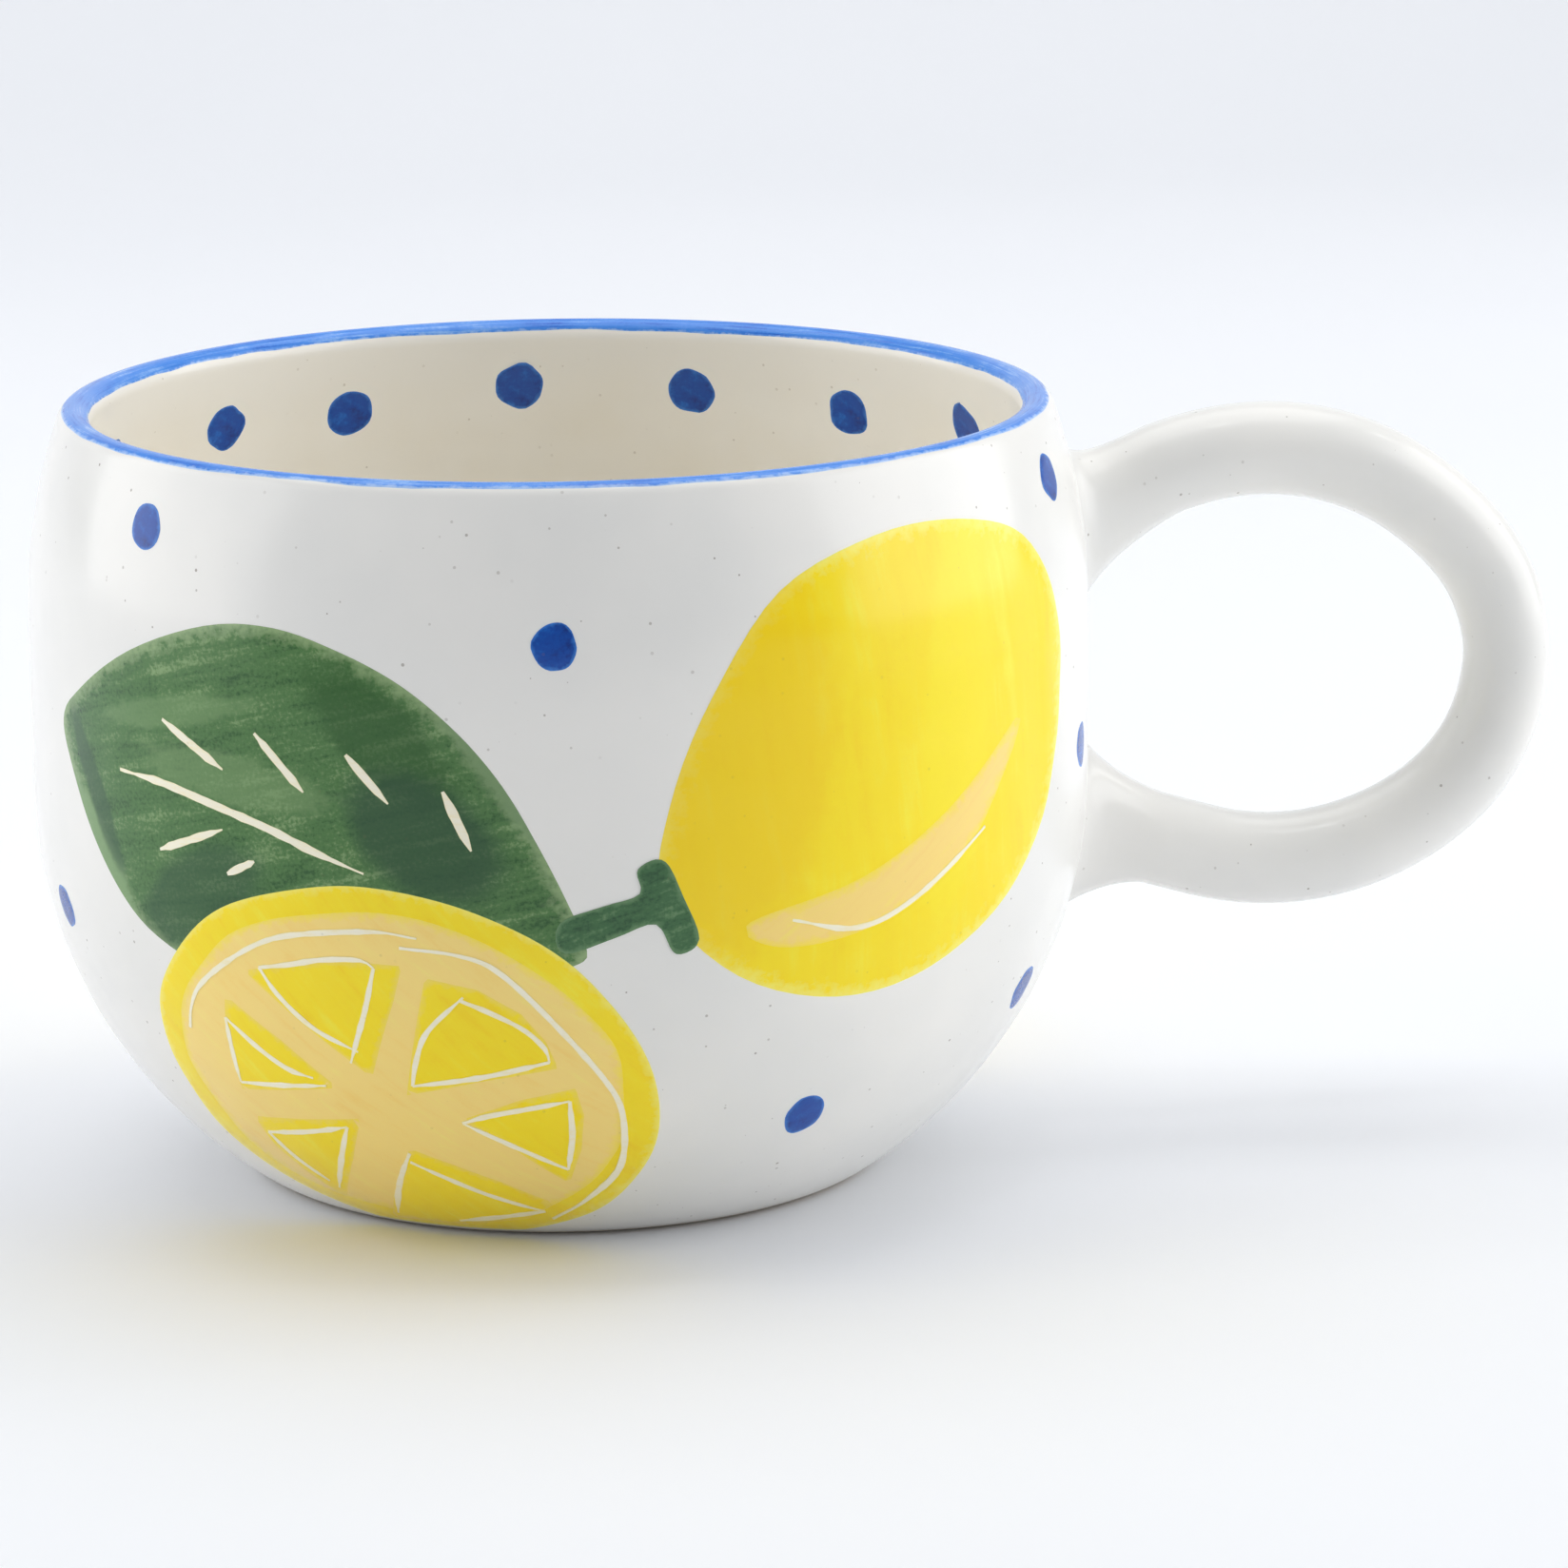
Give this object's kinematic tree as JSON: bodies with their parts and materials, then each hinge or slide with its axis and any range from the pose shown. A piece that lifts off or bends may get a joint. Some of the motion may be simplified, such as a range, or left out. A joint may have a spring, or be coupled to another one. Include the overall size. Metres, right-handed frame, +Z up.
{
  "type": "mug",
  "caption": "Round-bellied stoneware mug with a round-bar ring handle, a painted lip band and a hand-painted lemon, leaf and slice pattern.",
  "frame": {"origin": "centre of the base, on the plane the mug stands on", "axes": "+Z up along the cup's axis, +X from the axis towards the handle, painted front towards -Y"},
  "size_m": [0.1545, 0.1056, 0.0771],
  "materials": {
    "white_stoneware": "gloss",
    "cream_glaze": "gloss",
    "blue_paint": "gloss",
    "yellow_paint": "gloss",
    "peach_paint": "gloss",
    "green_paint": "gloss"
  },
  "bodies": {
    "root": {"cup_body": "white_stoneware", "handle": "white_stoneware", "upper_luting_slip": "white_stoneware", "lower_luting_slip": "white_stoneware", "inside_glaze": "cream_glaze", "rim_band": "blue_paint", "inner_dots": "blue_paint", "outer_dots": "blue_paint", "lemon": "yellow_paint", "lemon_highlight": "peach_paint", "lemon_stem": "green_paint", "leaf": "green_paint", "slice_rind": "yellow_paint", "slice_pith": "peach_paint", "slice_wedges": "yellow_paint"}
  },
  "joints": []
}
